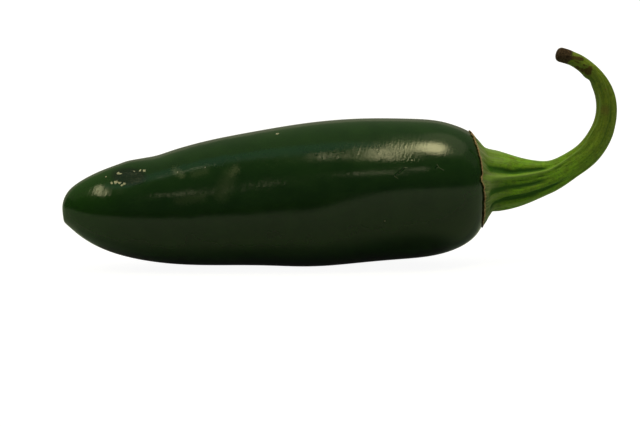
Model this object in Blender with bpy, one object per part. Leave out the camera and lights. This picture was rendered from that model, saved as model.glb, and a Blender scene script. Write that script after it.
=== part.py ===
"""A green jalapeno pepper, as picked: its pod lies on its side and its ribbed stem curls up from the cap.

Metres, +Z up. The pod lies along X, with its blossom end at -X and its stem at +X. The origin is on the
surface that the pepper lies on, under its centre of mass, inside the small flat spot on the pod's belly.
"""

import math

import bmesh
import bpy
import numpy as np

MM = 0.001

# Outlines are in millimetres, as (distance from the blossom end, height above the resting surface).
# The two rails of the pod run from its blossom end to its crown, one over the top and one under the belly.
POD_TIP = (0.0, 10.5)
POD_TOP = (
    (0.6, 14.1),
    (3.1, 16.9),
    (7.4, 19.2),
    (12.9, 21.1),
    (19.6, 22.7),
    (28.0, 24.9),
    (38.0, 26.8),
    (49.0, 28.5),
    (60.0, 29.3),
    (69.0, 29.2),
    (75.4, 28.7),
    (78.6, 27.8),
    (81.3, 26.6),
    (82.7, 25.3),
    (83.9, 22.6),
)
POD_BELLY = (
    (1.1, 8.7),
    (3.6, 6.5),
    (7.9, 3.9),
    (13.5, 2.0),
    (21.0, 0.7),
    (30.0, 0.2),
    (39.5, 0.0),
    (49.5, -0.4),
    (59.0, 0.2),
    (68.0, 0.8),
    (76.5, 1.9),
    (81.1, 3.9),
    (83.9, 6.9),
    (84.8, 9.8),
    (85.1, 12.8),
)
POD_CROWN = (85.0, 17.3)

# The pod's cross-section: nearly round, with three very soft lobes and a slight sideways bow.
POD_WIDTH_SHARE = 0.97
POD_LOBES = 3
POD_LOBE_DEPTH = 0.010
POD_LOBE_TURN = math.radians(35)
POD_BOW = 0.7

# Shallow hollows in the pod's wall, and low swellings where the depth is below zero:
# distance, angle from the top towards -Y in degrees, length, width, depth.
POD_HOLLOWS = (
    (19.4, -5.0, 3.0, 5.5, 0.25),
    (13.4, -5.0, 1.6, 4.0, -0.12),
    (13.2, 38.0, 3.4, 2.4, 0.42),
    (34.0, 66.0, 9.0, 4.5, 0.30),
    (71.0, 132.0, 13.0, 7.5, 1.1),
    (70.0, 76.0, 12.0, 6.0, -0.45),
    (47.0, 205.0, 12.0, 6.0, 0.45),
    (64.0, 285.0, 9.0, 6.0, 0.40),
)
TIP_SCAR_RADIUS = 1.0
TIP_SCAR_DEPTH = 0.45

# The cap (the calyx) lies on the pod's end, in a shallow seat. Its edge runs through one pair of rail points.
CAP_EDGE_PAIR = 13
CAP_TEETH = 6
CAP_TOOTH_SHARE = 0.006
CAP_TOOTH_SHARPNESS = 4
CAP_EDGE_YAW_SHARE = 0.0055
CAP_FACING_TOOTH = math.radians(82)
CAP_EDGE_THICKNESS = 0.45
CAP_FLARE_POWER = 1.35
SEAT_DEPTH = 0.45
SEAT_LIP_SHARE = 0.0045
SEAT_FOOT_SHARE = 0.0005
SEAT_GAP = 0.2

# The stem's centre line from the cap to the cut end: distance, height, radius.
STEM_PATH = (
    (86.4, 16.65, 6.1),
    (90.3, 16.45, 5.2),
    (94.4, 16.75, 4.02),
    (98.5, 17.7, 3.0),
    (101.8, 19.5, 2.6),
    (104.9, 21.7, 2.5),
    (107.4, 25.0, 2.38),
    (108.8, 29.2, 2.15),
    (108.6, 33.2, 2.0),
    (107.0, 36.7, 1.72),
    (104.3, 39.5, 1.52),
    (101.3, 41.3, 1.44),
    (98.9, 42.0, 1.4),
)
STEM_LEAN = 2.6

# Ribs round the stem: one runs from each tooth and one lies between each two, as shares of the stem's radius.
TOOTH_RIB_DEPTH = 0.022
RIB_DEPTH = 0.033
RIB_FADE = 0.75

# The cut end is a blunt dry knob: rings as (share of the stem's width, reach past the centre line's end).
CUT_END = ((0.94, 0.22), (0.78, 0.40), (0.45, 0.32))
CUT_END_HOLLOW = 0.2
DRY_END_LENGTH = 3.2

# Where the origin lies along the pod: under the centre of mass.
REST_DISTANCE = 50.0

POD_RINGS = 42
POD_END_RINGS = 6
POD_SIDES = 48
RING_CROWDING = 0.62
RING_DRAW = 0.03
CAP_SEAT_RINGS = 6
CAP_FLARE_RINGS = 7
STEM_RINGS = 36
STEM_SIDES = 60

# Each finish: name, colour, roughness.
POD_FINISH = ("pod_skin", (0.012, 0.030, 0.008), 0.28)
STEM_FINISH = ("stem_skin", (0.090, 0.160, 0.020), 0.5)
DRY_FINISH = ("stem_dry", (0.045, 0.025, 0.012), 0.9)
FLAT_SPOT_CORNER = math.radians(35)

# The step over which a surface's slope is measured, as a share of its length or in radians.
SLOPE_STEP = 1e-3


def natural_spline(knots, values):
    """A smooth curve through the values at the knots, as a function of the place along the knots."""
    knots = np.asarray(knots, float)
    values = np.asarray(values, float)
    gaps = np.diff(knots)
    slopes = np.diff(values, axis=0) / gaps[:, None]
    system = np.eye(len(knots))
    pull = np.zeros_like(values)
    for i in range(1, len(knots) - 1):
        system[i, i - 1 : i + 2] = gaps[i - 1], 2 * (gaps[i - 1] + gaps[i]), gaps[i]
        pull[i] = 6 * (slopes[i] - slopes[i - 1])
    bend = np.linalg.solve(system, pull)

    def curve(where):
        where = np.asarray(where, float)
        i = np.clip(np.searchsorted(knots, where) - 1, 0, len(gaps) - 1)
        gap = gaps[i][..., None]
        after = (where - knots[i])[..., None] / gap
        before = 1 - after
        straight = before * values[i] + after * values[i + 1]
        return straight + gap**2 / 6 * ((before**3 - before) * bend[i] + (after**3 - after) * bend[i + 1])

    return curve


def knots_along(*rails):
    """How far along each point of these matching rails is, from 0 to 1, on the average of them."""
    steps = [np.linalg.norm(np.diff(np.asarray(rail, float), axis=0), axis=1) for rail in rails]
    along = np.concatenate([[0.0], np.cumsum(np.mean(steps, axis=0))])
    return along / along[-1]


POD_TOP_RAIL = (POD_TIP, *POD_TOP, POD_CROWN)
POD_BELLY_RAIL = (POD_TIP, *POD_BELLY, POD_CROWN)
POD_SHARES = knots_along(POD_TOP_RAIL, POD_BELLY_RAIL)
CAP_EDGE_SHARE = POD_SHARES[CAP_EDGE_PAIR]

# The pod's side outline as one curve: 0 at the blossom end, 1 at the crown over the top, -1 under the belly.
POD_CURVE = natural_spline(
    np.concatenate([-POD_SHARES[:0:-1], POD_SHARES]),
    np.concatenate([POD_BELLY_RAIL[:0:-1], POD_TOP_RAIL]),
)


def pod_hollow(distance, angle, radius):
    """How far the pod's wall is pressed in at a place, in millimetres."""
    pressed = np.zeros(np.broadcast(distance, angle).shape)
    for middle, turn, length, width, depth in POD_HOLLOWS:
        round_by = (angle - math.radians(turn) + math.pi) % (2 * math.pi) - math.pi
        reach = ((distance - middle) / length) ** 2 + (round_by * radius / width) ** 2
        pressed = pressed + depth * np.exp(-reach)
    return pressed


def pod_surface(share, angle):
    """Points on the pod, in millimetres from the blossom end: angle 0 is the top and 90 degrees faces -Y."""
    share, angle = np.broadcast_arrays(np.asarray(share, float), np.asarray(angle, float))
    top = POD_CURVE(share)
    belly = POD_CURVE(-share)
    middle = (top + belly) / 2
    up = (top - belly) / 2
    half_height = np.linalg.norm(up, axis=-1)
    distance = middle[..., 0] + up[..., 0] * np.cos(angle)
    lobe = 1 + POD_LOBE_DEPTH * np.cos(POD_LOBES * (angle - POD_LOBE_TURN)) * np.sin(math.pi * share)
    lobe = lobe - pod_hollow(distance, angle, half_height) / np.maximum(half_height, 1.0)
    x = middle[..., 0] + up[..., 0] * np.cos(angle) * lobe
    z = middle[..., 1] + up[..., 1] * np.cos(angle) * lobe
    y = -POD_WIDTH_SHARE * half_height * np.sin(angle) * lobe
    x = x + TIP_SCAR_DEPTH * np.exp(-((half_height / TIP_SCAR_RADIUS) ** 2)) * (share < 0.5)
    y = y + POD_BOW * (np.sin(math.pi * share) ** 2 - 0.5)
    return np.stack([x, y, z], axis=-1)


def raised_surface(share, angle, rise):
    """The pod's outer form moved outwards by a rise, in millimetres."""
    share = np.clip(share, SLOPE_STEP, 1 - SLOPE_STEP)
    here = pod_surface(share, angle)
    forward = pod_surface(share + SLOPE_STEP, angle) - pod_surface(share - SLOPE_STEP, angle)
    around = pod_surface(share, angle + SLOPE_STEP) - pod_surface(share, angle - SLOPE_STEP)
    outward = np.cross(around, forward)
    outward = outward / np.linalg.norm(outward, axis=-1, keepdims=True)
    return here + np.asarray(rise)[..., None] * outward


def cap_edge_share(angle):
    """Where the cap's edge lies on the pod: a ring with short teeth that point at the blossom end."""
    tooth = ((1 + np.cos(CAP_TEETH * (angle - CAP_FACING_TOOTH))) / 2) ** CAP_TOOTH_SHARPNESS
    return CAP_EDGE_SHARE + CAP_EDGE_YAW_SHARE * np.sin(angle) - CAP_TOOTH_SHARE * tooth


def pod_skin(share, angle, rise=0.0):
    """The pod's skin, with the cap's seat let into its end, or the same moved outwards by a rise."""
    lip = cap_edge_share(angle) - SEAT_LIP_SHARE
    sunk = np.clip((share - lip) / (SEAT_LIP_SHARE - SEAT_FOOT_SHARE), 0, 1)
    return raised_surface(share, angle, rise - SEAT_DEPTH * sunk)


def pod_ring_shares():
    """Shares of the pod's rings, closer together where it curves most, with one at the lip of the seat."""
    even = np.linspace(0, 1, POD_RINGS)
    crowded = even - RING_CROWDING * np.sin(2 * math.pi * even) / (2 * math.pi)
    before = (CAP_EDGE_SHARE - SEAT_LIP_SHARE) * crowded[1:]
    after = np.linspace(CAP_EDGE_SHARE - SEAT_FOOT_SHARE, 1, POD_END_RINGS, endpoint=False)
    return np.concatenate([before, after])


def rib_height(angle, share):
    """How far the ribs stand out, as a share of the stem's radius: they fade towards the cut end."""
    turn = CAP_TEETH * (angle - CAP_FACING_TOOTH)
    return (RIB_DEPTH * np.cos(2 * turn) + TOOTH_RIB_DEPTH * np.cos(turn)) * (1 - RIB_FADE * share)


def stem_rings(angles):
    """Rings along the stem's centre line, square to it, from the cap to the cut end."""
    path = np.asarray(STEM_PATH)
    curve = natural_spline(knots_along(path[:, :2]), path)

    def centre(share):
        distance, height = curve(share)[:2]
        return np.array([distance, -POD_BOW / 2 - STEM_LEAN * share**2, height])

    rings = []
    for share in np.linspace(0, 1, STEM_RINGS):
        forward = centre(share + SLOPE_STEP) - centre(share - SLOPE_STEP)
        forward /= np.linalg.norm(forward)
        inward = np.cross((0, -1, 0), forward)
        inward /= np.linalg.norm(inward)
        near = np.cross(forward, inward)
        radius = curve(share)[2] * (1 + rib_height(angles, share))
        rings.append(
            centre(share)
            + np.outer(radius * np.cos(angles), inward)
            + np.outer(radius * np.sin(angles), near)
        )
    end = rings[-1]
    end_centre = centre(1.0)
    for width, beyond in CUT_END:
        rings.append(end_centre + (end - end_centre) * width + forward * beyond)
    return rings, end_centre + forward * CUT_END_HOLLOW


def cap_rings(angles, stem_base):
    """Rings of the cap: its seat from the crown out to the edge, then its flare in to the stem."""
    edge = cap_edge_share(angles)
    shares = np.linspace(0, 1, CAP_SEAT_RINGS + 1)[1:]
    rings = [pod_skin(1 + (edge - 1) * share, angles, SEAT_GAP) for share in shares]
    rim = pod_skin(edge, angles, SEAT_GAP + CAP_EDGE_THICKNESS)
    for share in np.linspace(0, 1, CAP_FLARE_RINGS, endpoint=False):
        narrowed = (1 - share) ** CAP_FLARE_POWER
        ring = stem_base + (rim - stem_base) * narrowed
        ring[:, 0] = rim[:, 0] + (stem_base[:, 0] - rim[:, 0]) * share
        rings.append(ring)
    return rings, pod_skin(1.0, angles, SEAT_GAP).mean(axis=0)


def closed_loft(name, rings, first_pole, last_pole, materials):
    """One closed mesh over rings of points, each ring joined to the next and each end closed on its pole."""
    bm = bmesh.new()
    to_frame = np.array([REST_DISTANCE, 0.0, 0.0])

    def placed(point):
        return bm.verts.new((np.asarray(point) - to_frame) * MM)

    loops = [[placed(point) for point in ring] for ring in rings]
    for near, far in zip(loops, loops[1:]):
        for i in range(len(near)):
            bm.faces.new((near[i - 1], near[i], far[i], far[i - 1]))
    for loop, pole in ((loops[0], first_pole), (loops[-1], last_pole)):
        tip = placed(pole)
        for i in range(len(loop)):
            bm.faces.new((loop[i - 1], loop[i], tip))
    bmesh.ops.recalc_face_normals(bm, faces=bm.faces)
    mesh = bpy.data.meshes.new(name)
    bm.to_mesh(mesh)
    bm.free()
    mesh.shade_smooth()
    for material in materials:
        mesh.materials.append(material)
    made = bpy.data.objects.new(name, mesh)
    bpy.context.scene.collection.objects.link(made)
    return made


def finish_of(name, colour, roughness):
    """A plain material in one colour."""
    material = bpy.data.materials.new(name)
    material.use_nodes = True
    shader = material.node_tree.nodes["Principled BSDF"]
    shader.inputs["Base Color"].default_value = (*colour, 1)
    shader.inputs["Roughness"].default_value = roughness
    shader.inputs["Metallic"].default_value = 0.0
    material.diffuse_color = (*colour, 1)
    return material


def trim_flat_spot(pod):
    """Cuts the belly off level with the resting surface, so that the pod lies on a small flat face."""
    bm = bmesh.new()
    bm.from_mesh(pod.data)
    everything = [*bm.verts, *bm.edges, *bm.faces]
    cut = bmesh.ops.bisect_plane(
        bm, geom=everything, dist=1e-7, plane_co=(0, 0, 0), plane_no=(0, 0, 1), clear_inner=True
    )
    rim = [part for part in cut["geom_cut"] if isinstance(part, bmesh.types.BMEdge)]
    bmesh.ops.edgeloop_fill(bm, edges=rim)
    bmesh.ops.recalc_face_normals(bm, faces=bm.faces)
    bm.to_mesh(pod.data)
    bm.free()
    pod.data.set_sharp_from_angle(angle=FLAT_SPOT_CORNER)


def make_pod():
    """The fruit: one solid from blossom end to crown."""
    angles = np.linspace(0, 2 * math.pi, POD_SIDES, endpoint=False)
    drawn = cap_edge_share(angles) - CAP_EDGE_SHARE
    rings = [
        pod_skin(share + drawn * math.exp(-(((share - CAP_EDGE_SHARE) / RING_DRAW) ** 2)), angles)
        for share in pod_ring_shares()
    ]
    tip = pod_skin(0.0, angles).mean(axis=0)
    crown = pod_skin(1.0, angles).mean(axis=0)
    pod = closed_loft("pod", rings, tip, crown, [finish_of(*POD_FINISH)])
    trim_flat_spot(pod)
    return pod


def make_cap_and_stem():
    """The calyx and the stem, which grew as one piece, with the stem's dry brown end."""
    angles = np.linspace(0, 2 * math.pi, STEM_SIDES, endpoint=False)
    along_stem, end_pole = stem_rings(angles)
    cap, seat_pole = cap_rings(angles, along_stem[0])
    finishes = [finish_of(*STEM_FINISH), finish_of(*DRY_FINISH)]
    stem = closed_loft("calyx_and_stem", [*cap, *along_stem], seat_pole, end_pole, finishes)
    cut = (np.asarray(end_pole) - (REST_DISTANCE, 0, 0)) * MM
    for face in stem.data.polygons:
        if np.linalg.norm(np.asarray(face.center) - cut) < DRY_END_LENGTH * MM:
            face.material_index = 1
    return stem


def main():
    for leftover in list(bpy.data.objects):
        bpy.data.objects.remove(leftover)
    make_pod()
    make_cap_and_stem()


main()
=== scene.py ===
"""The looks of a fresh green jalapeno: its waxy pod, its calyx and ribbed stem, and the studio round it."""

import functools
import math

import bmesh
import bpy
import numpy as np
from bpy.props import FloatProperty, FloatVectorProperty, PointerProperty
from mathutils import Matrix, Vector


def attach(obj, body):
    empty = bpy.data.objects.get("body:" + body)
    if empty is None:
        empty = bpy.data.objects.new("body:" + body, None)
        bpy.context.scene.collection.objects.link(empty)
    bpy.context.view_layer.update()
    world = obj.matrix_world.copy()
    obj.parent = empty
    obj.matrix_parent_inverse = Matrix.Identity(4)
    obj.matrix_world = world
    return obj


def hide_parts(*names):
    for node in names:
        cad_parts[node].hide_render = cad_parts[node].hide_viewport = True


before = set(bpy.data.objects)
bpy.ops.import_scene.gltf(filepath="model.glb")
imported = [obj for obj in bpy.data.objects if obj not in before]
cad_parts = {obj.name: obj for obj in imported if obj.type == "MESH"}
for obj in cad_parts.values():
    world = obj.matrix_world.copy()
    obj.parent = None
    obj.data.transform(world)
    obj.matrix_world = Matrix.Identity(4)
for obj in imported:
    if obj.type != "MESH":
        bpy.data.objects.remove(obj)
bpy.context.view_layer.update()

bl_info = {
    "name": "Jalapeno pepper",
    "version": (1, 0, 0),
    "blender": (4, 5, 0),
    "location": "View3D > Sidebar > Jalapeno",
    "description": "Models a green jalapeno with its calyx and stem, and a pale studio round it",
    "category": "Add Mesh",
}

MM = 0.001

# Lengths are in millimetres, except where a comment says metres. A distance runs along the pod from its
# blossom end, an angle runs round a piece in degrees, from the top towards -Y, and a place is (x, y, z) in
# the frame. The origin is on the resting surface, at this distance.
REST_DISTANCE = 50.0

# The pod's outline, as (distance, height). One rail runs over the top and one under the belly, from the
# blossom end to the crown that the calyx covers.
POD_TIP = (0.0, 10.5)
POD_TOP = (
    (0.6, 14.1),
    (3.1, 16.9),
    (7.4, 19.2),
    (12.9, 21.1),
    (19.6, 22.7),
    (28.0, 24.9),
    (38.0, 26.8),
    (49.0, 28.5),
    (60.0, 29.3),
    (69.0, 29.2),
    (75.4, 28.7),
    (78.6, 27.8),
    (81.3, 26.6),
    (82.7, 25.3),
    (83.9, 22.6),
)
POD_BELLY = (
    (1.1, 8.7),
    (3.6, 6.5),
    (7.9, 3.9),
    (13.5, 2.0),
    (21.0, 0.7),
    (30.0, 0.2),
    (39.5, 0.0),
    (49.5, -0.4),
    (59.0, 0.2),
    (68.0, 0.8),
    (76.5, 1.9),
    (81.1, 3.9),
    (83.9, 6.9),
    (84.8, 9.8),
    (85.1, 12.8),
)
POD_CROWN = (85.0, 17.3)

# The pod's width as a share of its height, and how far its middle bows to the side.
POD_WIDTH_SHARE = 0.97
POD_BOW = 0.7

# Shallow hollows in the pod's wall, and low swellings where the depth is below zero:
# distance, angle, length, width, depth.
POD_HOLLOWS = (
    (19.4, -5.0, 3.0, 5.5, 0.25),
    (13.4, -5.0, 1.6, 4.0, -0.12),
    (13.2, 38.0, 3.4, 2.4, 0.42),
    (34.0, 66.0, 9.0, 4.5, 0.30),
    (71.0, 132.0, 13.0, 7.5, 1.1),
    (70.0, 76.0, 12.0, 6.0, -0.45),
    (47.0, 205.0, 12.0, 6.0, 0.45),
    (64.0, 285.0, 9.0, 6.0, 0.40),
)

# The pit of the blossom scar.
PIT_RADIUS = 1.0
PIT_DEPTH = 0.45

# The pod's rings lie between two shares of its length, and crowd towards its ends.
POD_SIDES = 48
POD_RINGS = 46
POD_FIRST_SHARE = 0.004
POD_LAST_SHARE = 0.985
RING_CROWDING = 0.62
SUBDIVISIONS = 2

# Sections of the calyx, from under its edge in to the stem: distance, height, radius, tilt in degrees, and
# the way along, which is measured from the edge towards the cut end.
CALYX_SECTIONS = (
    (83.0, 16.7, 9.0, -7.0, -0.7),
    (82.6, 16.8, 9.7, -7.0, 0.0),
    (82.95, 16.8, 9.35, -6.7, 0.5),
    (83.4, 16.75, 8.9, -6.2, 1.2),
    (83.95, 16.7, 8.2, -5.6, 2.1),
    (84.45, 16.65, 7.45, -5.0, 3.0),
    (84.85, 16.65, 6.85, -4.7, 3.7),
    (85.45, 16.65, 6.4, -3.5, 4.4),
)

# The stem's centre line from the calyx to the cut end: distance, height, radius. Its end leans this far
# towards -Y, and it starts at this way along. Its slope is measured over a small share of it.
STEM_PATH = (
    (86.4, 16.65, 6.1),
    (90.3, 16.45, 5.2),
    (94.4, 16.75, 4.02),
    (98.5, 17.7, 3.0),
    (101.8, 19.5, 2.6),
    (104.9, 21.7, 2.5),
    (107.4, 25.0, 2.38),
    (108.8, 29.2, 2.15),
    (108.6, 33.2, 2.0),
    (107.0, 36.7, 1.72),
    (104.3, 39.5, 1.52),
    (101.3, 41.3, 1.44),
    (99.2, 41.95, 1.47),
)
STEM_LEAN = 2.6
STEM_RINGS = 40
STEM_SIDES = 84
STEM_START_ALONG = 5.0
SLOPE_STEP = 1e-3

# The rounded cut end: share of the stem's radius, reach past the end of the centre line.
CUT_END = ((0.97, 0.3), (0.86, 0.65), (0.62, 0.92), (0.3, 1.05))

# The ribs and the grooves of the stem: height as a share of the radius, width in degrees, then the way they
# run, as (way along, angle). Each fades at its two ends.
STEM_RIBS = (
    (0.035, 9, ((1.2, 22), (8.0, 20), (19.0, 19), (30.0, 16))),
    (0.030, 8, ((2.0, 45), (5.0, 42), (12.0, 36), (20.0, 32))),
    (-0.085, 8, ((2.6, 60), (5.7, 63), (8.1, 64), (12.0, 55), (16.0, 48))),
    (0.085, 6, (
        (1.2, 80), (4.0, 79), (7.0, 75), (9.3, 71), (12.0, 67),
        (14.6, 63), (21.0, 48), (29.0, 35), (33.0, 39), (40.0, 49),
    )),
    (-0.035, 5, ((5.0, 88), (7.0, 85), (11.4, 78), (16.0, 74))),
    (-0.065, 7, ((2.2, 106), (4.2, 103), (7.0, 97), (10.0, 95), (15.0, 91))),
    (0.020, 8, ((1.2, 118), (5.0, 115), (9.0, 110), (14.0, 106), (22.0, 103))),
    (-0.100, 8, ((2.4, 136), (5.4, 132), (6.6, 126), (8.1, 123), (10.8, 124), (17.5, 121))),
    (0.080, 8, ((1.2, 148), (4.0, 143), (6.3, 139), (11.6, 141), (16.4, 147), (25.0, 140))),
    (-0.060, 9, ((2.4, 168), (8.0, 164), (16.0, 168), (24.0, 163))),
    (0.060, 9, ((1.2, 188), (8.0, 184), (18.0, 190), (32.0, 184))),
    (-0.085, 9, ((2.4, 210), (7.0, 207), (15.0, 209), (22.0, 203))),
    (0.070, 9, ((1.2, 232), (7.0, 228), (16.0, 230), (30.0, 222))),
    (-0.080, 9, ((2.4, 252), (7.0, 249), (16.0, 246), (24.0, 240))),
    (0.075, 8, ((1.2, 272), (7.0, 270), (16.0, 266), (30.0, 258))),
    (-0.070, 9, ((2.4, 294), (7.0, 291), (15.0, 286), (22.0, 280))),
    (0.065, 8, ((1.2, 315), (7.0, 313), (16.0, 308), (30.0, 300))),
    (-0.060, 9, ((2.4, 338), (7.0, 337), (14.0, 334), (20.0, 330))),
    (-0.045, 8, ((26.0, 106), (29.0, 104), (33.0, 100), (38.3, 106), (41.0, 122), (43.0, 126))),
    (-0.040, 7, ((24.0, 62), (29.0, 60), (36.0, 64), (42.0, 74))),
    (0.040, 8, ((24.0, 150), (32.0, 146), (42.0, 150))),
    (-0.045, 8, ((24.0, 200), (34.0, 205), (44.0, 196))),
    (-0.045, 8, ((24.0, 282), (33.0, 275), (43.0, 280))),
)

# The length over which a rib fades, the ways along between which they all grow to their full height, and
# the most that a rib may rise or a groove may sink.
RIB_FADE = 3.0
RIBS_GROW = (2.0, 6.5)
TALLEST_RIB = 1.0

# Small hollows in the stem, and swellings where the depth is below zero:
# way along, angle, length, width, depth.
STEM_HOLLOWS = (
    (42.4, 4.0, 1.0, 1.5, 0.26),
    (43.9, 10.0, 0.9, 1.4, -0.12),
    (45.0, 62.0, 1.3, 0.9, 0.16),
    (46.6, 116.0, 1.0, 0.35, 0.12),
    (37.7, 14.0, 0.4, 0.5, 0.12),
    (48.4, 150.0, 0.7, 4.0, 0.07),
)

# The calyx's edge, as (angle, reach towards the blossom end), then fine rags on it, as (waves round the
# edge, start in radians, size), and the most that its teeth and notches may reach.
CALYX_EDGE = (
    (0, 0.5),
    (10, 0.3),
    (17, 0.7),
    (21, 0.1),
    (26, 0.5),
    (33, 0.3),
    (43, 0.1),
    (52, -0.1),
    (67, -0.2),
    (76, 0.0),
    (79, 0.5),
    (84, 0.9),
    (87, 0.3),
    (90, -0.2),
    (101, -0.6),
    (106, -0.9),
    (112, -0.5),
    (120, -0.6),
    (133, -0.5),
    (140, -0.2),
    (150, 0.35),
    (156, 0.0),
    (162, -0.2),
    (178, 0.3),
    (192, -0.3),
    (206, 0.6),
    (220, -0.1),
    (240, -0.2),
    (262, 0.7),
    (275, 0.0),
    (298, -0.2),
    (322, 0.8),
    (338, 0.2),
)
EDGE_RAGS = ((23, 0.4, 0.09), (41, 1.7, 0.07), (67, 3.1, 0.05))
LONGEST_TOOTH = 1.5
DEEPEST_NOTCH = 1.0

# Where along the calyx its edge is drawn out, laid on the pod and tucked under: not at all at the first way
# along, and in full at the second. The tucked root lies this far off the pod, below zero inside it.
EDGE_DRAWN = (1.8, 0.0)
EDGE_LAID = (1.725, 0.225)
EDGE_TUCKED = (0.0, -0.6)
EDGE_ROOT = -0.25

# The calyx's creases: the angles, the width in degrees, the depth, and the ways along between which they
# deepen and end.
CREASES = (
    8, 15, 27, 38, 50, 58, 73, 86, 97, 111, 124, 138,
    153, 165, 181, 199, 215, 238, 259, 280, 303, 326, 347,
)
CREASE_WIDTH = 1.8
CREASE_DEPTH = 0.12
CREASES_DEEPEN = (0.25, 0.75)
CREASES_END = (3.6, 2.1)

# Marks: a fleck or patch is a place and a radius, and a nick, streak or dash is the two ends of a line and a
# radius. A place on the pod's side towards -Y may be given as (x, height).
CRUST_FLECKS = (
    ((-38.7, -4.2, 19.4), 0.40),
    ((-38.3, -4.5, 19.4), 0.32),
    ((-35.6, -5.0, 20.0), 0.32),
    ((-34.4, -5.3, 20.1), 0.32),
    ((-33.6, -5.6, 20.0), 0.38),
    ((-41.1, -4.0, 18.7), 0.22),
    ((-40.0, -5.8, 17.7), 0.34),
    ((-39.2, -6.0, 17.9), 0.50),
    ((-38.4, -6.3, 17.7), 0.36),
    ((-38.0, -6.9, 17.3), 0.30),
    ((-37.5, -6.8, 17.6), 0.36),
    ((-42.7, -6.1, 16.2), 0.20),
    ((-7.4, -3.9, 26.9), 0.38),
)
PALE_FLECKS = (
    ((13.0, 10.6), 0.13),
    ((18.3, 22.3), 0.12),
    ((-27.1, 19.9), 0.12),
    ((-21.8, 20.9), 0.14),
)
PALE_NICKS = (
    ((14.7, 19.3), (15.4, 18.9), 0.09),
    ((16.6, 20.9), (17.4, 20.9), 0.09),
    ((23.2, 21.4), (23.6, 20.8), 0.10),
    ((23.6, 20.8), (24.5, 20.3), 0.09),
)
# The deep nicks are painted dark green, as painted shade in their grooves, over a slight bump.
DEEP_NICKS = (
    ((14.9, 19.5), (16.6, 20.8), 0.30),
    ((22.9, 20.8), (23.3, 21.1), 0.22),
)
# Painted highlights: pale streaks that stand in for glints on the skin, each as the two ends of a line,
# radius, strength.
PAINTED_GLINTS = (
    ((-15.9, 20.6), (-16.8, 19.6), 1.2, 0.50),
    ((-17.2, 19.2), (-18.8, 15.9), 2.4, 0.22),
    ((-27.6, 20.1), (-26.4, 19.5), 1.1, 0.55),
    ((-24.0, 19.6), (-21.8, 20.2), 1.2, 0.22),
    ((-27.0, 14.6), (-22.5, 15.4), 1.5, 0.20),
)
# The scuffed dent is an oval: its place, and one over its half length and its half height.
DENT_PLACE = (-36.6, 18.9)
DENT_SHAPE = (0.26, 0.0, 0.6)
SCAR_PLACE = (-49.5, 0.0, 12.2)
BROWN_PATCHES = (
    ((52.4, -3.6, 39.1), 0.8),
    ((53.3, -3.7, 38.6), 0.95),
    ((54.4, -3.9, 38.5), 1.1),
    ((55.0, -4.1, 39.3), 0.8),
    ((53.9, -4.3, 39.9), 0.65),
)
BROWN_STREAKS = (
    ((50.6, -4.2, 41.5), (53.3, -3.7, 41.2), 0.55),
    ((51.9, -4.3, 40.8), (53.1, -4.3, 40.2), 0.45),
)
RUSTY_FLECKS = (((58.2, -3.7, 35.1), 0.22),)
RUSTY_DASHES = (((39.0, -3.0, 21.7), (40.0, -2.8, 21.3), 0.16),)
RUSTY_BLOTCH_PLACE = (58.05, -3.5, 30.9)

# The core of a mark, where it is full, as a share of its radius.
FLECK_CORE = 0.6
NICK_CORE = 0.3
STREAK_CORE = 0.4
RUST_CORE = 0.5

# Noise in the skins, as (scale per millimetre, detail), with its roughness where that isn't a half. The
# fibres and threads are noise over the stem's turn and the way along it, drawn out by these factors.
POD_GRAIN = (3.0, 3)
POD_MOTTLE = (0.22, 4)
POD_WRINKLES = (1.9, 1)
POD_CRACKLE = (2.0, 2)
POD_WAVES = (0.15, 1)
POD_RIPPLES = (0.38, 1)
FIBRE_STRETCH = (9.0, 9.0, 0.2)
FIBRE_NOISE = (1.0, 5, 0.65)
THREAD_STRETCH = (26.0, 26.0, 0.35)
THREAD_NOISE = (1.0, 3, 0.6)
STEM_BLOTCHES = (0.7, 3)
STEM_GRAIN = (2.6, 4, 0.6)
DRY_EDGE_NOISE = (0.8, 2)

# The pod's wrinkles lean this much towards the stem as they rise, and are drawn out by this factor. They and
# the crackle have this share of their depth low on the pod, and gain the rest between two heights.
WRINKLE_LEAN = 0.45
WRINKLE_STRETCH = 0.22
LOW_SHARE = 0.2
DEPTH_GAINED = (7.0, 15.0)

# Masks of the pod's skin: the value at which each is none and at which it is full, then how full if not 1.
# The value is a noise, a place's x or y, or the way from a mark.
POD_FLESH = (0.3, 0.7)
TIP_GREEN = (-32.0, -44.0)
FRONT_SIDE = (0.5, -0.5)
DENT_EDGE = (1.25, 0.85)
SCAR_EDGE = (1.6, 0.9)
SCAR_GRAIN = (0.35, 0.65)
RIPPLED_PART = (-4.0, -14.0)

# Masks of the stem's skin, in the same way. The value may also be the way along or the ribs' relief.
UPPER_STEM = (16.0, 34.0)
STRONG_RELIEF = (24.0, 12.0)
BLOTCHED = (0.42, 0.62, 0.45)
PALE_THREADS = (0.50, 0.66, 0.4)
DEEP_FIBRES = (0.50, 0.34, 0.6)
DEEP_GRAIN = (0.52, 0.36, 0.4)
IN_CALYX = (11.0, 3.0)
CALYX_FIBRES = (0.35, 0.6)
CALYX_THREADS = (0.5, 0.62)
IN_GROOVE = (-0.005, -0.06)
ON_RIB = (0.015, 0.06, 0.8)
PAPERY_EDGE = (1.0, 0.75)
EDGE_GRAIN = (0.4, 0.6)
RUSTY_BLOTCH = (1.5, 0.2, 0.35)
DRY_END = (48.95, 49.25)
CORK_GRAIN = (0.35, 0.7)

# What noise adds to the value of a mask, so that its edge wanders: one factor, or the least and the most.
TIP_GREEN_WANDER = 6.0
DENT_WANDER = 0.35
GLINT_WANDER = 3.5
CALYX_WANDER = 5.0
EDGE_WANDER = 0.6
STREAK_WANDER = 0.5
POD_RAGS = (-0.3, 0.3)
STEM_RAGS = (-0.45, 0.45)
RUST_RAGS = (-0.6, 0.6)
DRY_RAGS = (-0.5, 0.5)
FIBRE_RELIEF = (-0.05, 0.05)

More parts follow.
